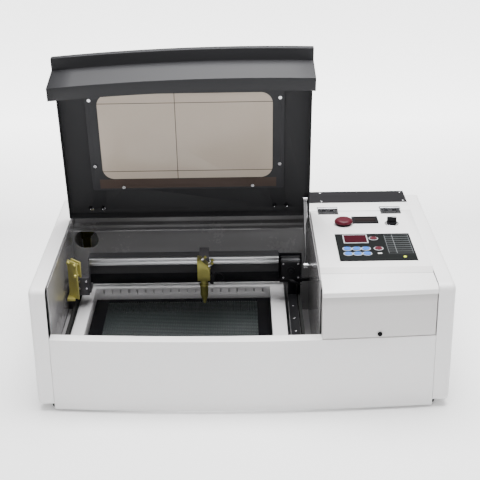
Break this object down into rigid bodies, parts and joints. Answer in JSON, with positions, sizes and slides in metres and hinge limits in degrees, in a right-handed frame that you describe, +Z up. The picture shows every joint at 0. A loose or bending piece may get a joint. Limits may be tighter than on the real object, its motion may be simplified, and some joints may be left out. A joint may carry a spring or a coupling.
{
  "type": "desktop laser cutter",
  "caption": "Desktop laser engraver and cutter with a raised windowed lid, belt-driven gantry and head over a mesh bed, and a hinged electronics cover with keypad.",
  "frame": {"origin": "on the surface the feet stand on, at the middle of the overall width and depth", "axes": "+X to the machine's right seen from the front, +Y to the back, +Z up"},
  "size_m": [0.8, 0.5314, 0.6537],
  "materials": {
    "white_enamel": "smooth gloss powder coat",
    "charcoal_enamel": "satin powder coat",
    "grey_steel": "smooth mid-grey paint",
    "black_metal": "black anodised or blackened metal",
    "bright_steel": "bright plated steel",
    "grey_metal": "grey anodised",
    "brass": "satin brass",
    "glass_tube": "clear glass",
    "amber_pane": "clear acrylic under a beige protective film",
    "black_plastic": "fine satin",
    "red_plastic": "moulded gloss",
    "blue_plastic": "moulded gloss",
    "red_lens": "tinted display lens",
    "green_board": "printed circuit board",
    "black_rubber": "moulded rubber"
  },
  "bodies": {
    "chassis": {"base_pan": "grey_steel", "bay_partition": "grey_steel", "bed_frame": "white_enamel", "bed_mesh": "black_metal", "controller_board": "green_board", "electronics_wall": "grey_steel", "exhaust_duct": "grey_steel", "fixed_hinge_leaves": "black_metal", "front_panel": "white_enamel", "hose_fittings": "brass", "laser_tube": "glass_tube", "left_side_panel": "white_enamel", "mains_inlet": "black_plastic", "mirror_1_mount": "brass", "power_supply": "grey_metal", "rear_deck": "white_enamel", "rear_panel": "white_enamel", "right_side_panel": "white_enamel", "rubber_feet": "black_rubber", "tube_clamps": "grey_metal", "tube_cover": "charcoal_enamel", "y_belts": "black_rubber", "y_motor": "black_metal", "y_rails": "black_metal"},
    "gantry": {"left_end_bracket": "grey_metal", "mirror_2_mount": "brass", "motor_bracket": "black_metal", "x_beam": "black_metal", "x_belt": "black_rubber", "x_guide_rail": "bright_steel", "x_motor": "black_metal"},
    "head": {"carriage": "grey_metal", "laser_pointer": "black_plastic", "lens_tube": "brass", "mirror_3_block": "brass"},
    "x_drive": {"x_drive_pulley": "bright_steel"},
    "x_idler": {"x_idler_pulley": "bright_steel"},
    "y_drive": {"y_drive_shaft": "bright_steel"},
    "y_idlers": {"y_idler_pulleys": "bright_steel"},
    "lid": {"lid_hinge_leaves": "black_metal", "lid_screws": "bright_steel", "lid_shell": "charcoal_enamel", "lid_window": "amber_pane"},
    "stay_tube": {"stay_cylinder": "bright_steel"},
    "stay_piston": {"stay_rod": "bright_steel"},
    "cover": {"control_panel": "black_plastic", "cover_hinge_leaves": "black_metal", "display_lens": "red_lens", "electronics_cover": "white_enamel", "panel_meter": "black_plastic"},
    "stop": {"stop_button": "red_plastic"},
    "selector": {"selector_knob": "black_plastic"},
    "blue_key_1": {"blue_key_1": "blue_plastic"},
    "blue_key_2": {"blue_key_2": "blue_plastic"},
    "blue_key_3": {"blue_key_3": "blue_plastic"},
    "blue_key_4": {"blue_key_4": "blue_plastic"},
    "blue_key_5": {"blue_key_5": "blue_plastic"},
    "blue_key_6": {"blue_key_6": "blue_plastic"},
    "red_key_1": {"red_key_1": "red_plastic"},
    "red_key_2": {"red_key_2": "red_plastic"}
  },
  "joints": [
    {"name": "lid_hinge", "type": "hinge", "parent": "chassis", "child": "lid", "pos_m": [0, 0.11965, 0.2745], "axis": [-1, 0, 0], "range_deg": [-79, 0]},
    {"name": "stay_swivel", "type": "hinge", "parent": "lid", "child": "stay_tube", "pos_m": [0.138, 0.09424, 0.30827], "axis": [-1, 0, 0], "range_deg": [0, 82]},
    {"name": "stay_stroke", "type": "slide", "parent": "stay_tube", "child": "stay_piston", "axis": [0, -0.2706, -0.9627], "range_m": [-0.056, 0]},
    {"name": "cover_hinge", "type": "hinge", "parent": "chassis", "child": "cover", "pos_m": [0, 0.11965, 0.2745], "axis": [-1, 0, 0], "range_deg": [0, 90]},
    {"name": "blue_key_1_press", "type": "slide", "parent": "cover", "child": "blue_key_1", "axis": [0, 0, -1], "range_m": [0, 0.0005], "stiffness_N_per_m": 4000},
    {"name": "blue_key_2_press", "type": "slide", "parent": "cover", "child": "blue_key_2", "axis": [0, 0, -1], "range_m": [0, 0.0005], "stiffness_N_per_m": 4000},
    {"name": "blue_key_3_press", "type": "slide", "parent": "cover", "child": "blue_key_3", "axis": [0, 0, -1], "range_m": [0, 0.0005], "stiffness_N_per_m": 4000},
    {"name": "blue_key_4_press", "type": "slide", "parent": "cover", "child": "blue_key_4", "axis": [0, 0, -1], "range_m": [0, 0.0005], "stiffness_N_per_m": 4000},
    {"name": "blue_key_5_press", "type": "slide", "parent": "cover", "child": "blue_key_5", "axis": [0, 0, -1], "range_m": [0, 0.0005], "stiffness_N_per_m": 4000},
    {"name": "blue_key_6_press", "type": "slide", "parent": "cover", "child": "blue_key_6", "axis": [0, 0, -1], "range_m": [0, 0.0005], "stiffness_N_per_m": 4000},
    {"name": "red_key_1_press", "type": "slide", "parent": "cover", "child": "red_key_1", "axis": [0, 0, -1], "range_m": [0, 0.0005], "stiffness_N_per_m": 4000},
    {"name": "red_key_2_press", "type": "slide", "parent": "cover", "child": "red_key_2", "axis": [0, 0, -1], "range_m": [0, 0.0005], "stiffness_N_per_m": 4000},
    {"name": "stop_press", "type": "slide", "parent": "cover", "child": "stop", "axis": [0, 0, -1], "range_m": [0, 0.003], "stiffness_N_per_m": 2000},
    {"name": "selector_turn", "type": "hinge", "parent": "cover", "child": "selector", "pos_m": [0.316, 0.04365, 0.27], "axis": [0, 0, -1], "range_deg": [0, 90]},
    {"name": "gantry_slide", "type": "slide", "parent": "chassis", "child": "gantry", "axis": [0, 1, 0], "range_m": [-0.14, 0.055]},
    {"name": "head_slide", "type": "slide", "parent": "gantry", "child": "head", "axis": [1, 0, 0], "range_m": [-0.19, 0.115]},
    {"name": "x_drive_turn", "type": "hinge", "parent": "gantry", "child": "x_drive", "pos_m": [0.103, 0.02566, 0.192], "axis": [0, 1, 0], "range_deg": [-1800, 1000]},
    {"name": "x_idler_turn", "type": "hinge", "parent": "gantry", "child": "x_idler", "pos_m": [-0.302, 0.02566, 0.192], "axis": [0, 1, 0], "range_deg": [-1800, 1000]},
    {"name": "y_drive_turn", "type": "hinge", "parent": "chassis", "child": "y_drive", "pos_m": [0, 0.09566, 0.12], "axis": [-1, 0, 0], "range_deg": [-1300, 600]},
    {"name": "y_idler_turn", "type": "hinge", "parent": "chassis", "child": "y_idlers", "pos_m": [0, -0.19834, 0.12], "axis": [-1, 0, 0], "range_deg": [-1300, 600]}
  ],
  "couplings": [
    {"joint": "stay_swivel", "follows": "lid_hinge", "ratio": -1.0165},
    {"joint": "stay_stroke", "follows": "lid_hinge", "m_per_rad": 0.03895},
    {"joint": "x_drive_turn", "follows": "head_slide", "rad_per_m": 135.14},
    {"joint": "x_idler_turn", "follows": "head_slide", "rad_per_m": 135.14},
    {"joint": "y_drive_turn", "follows": "gantry_slide", "rad_per_m": 135.14},
    {"joint": "y_idler_turn", "follows": "gantry_slide", "rad_per_m": 135.14}
  ]
}
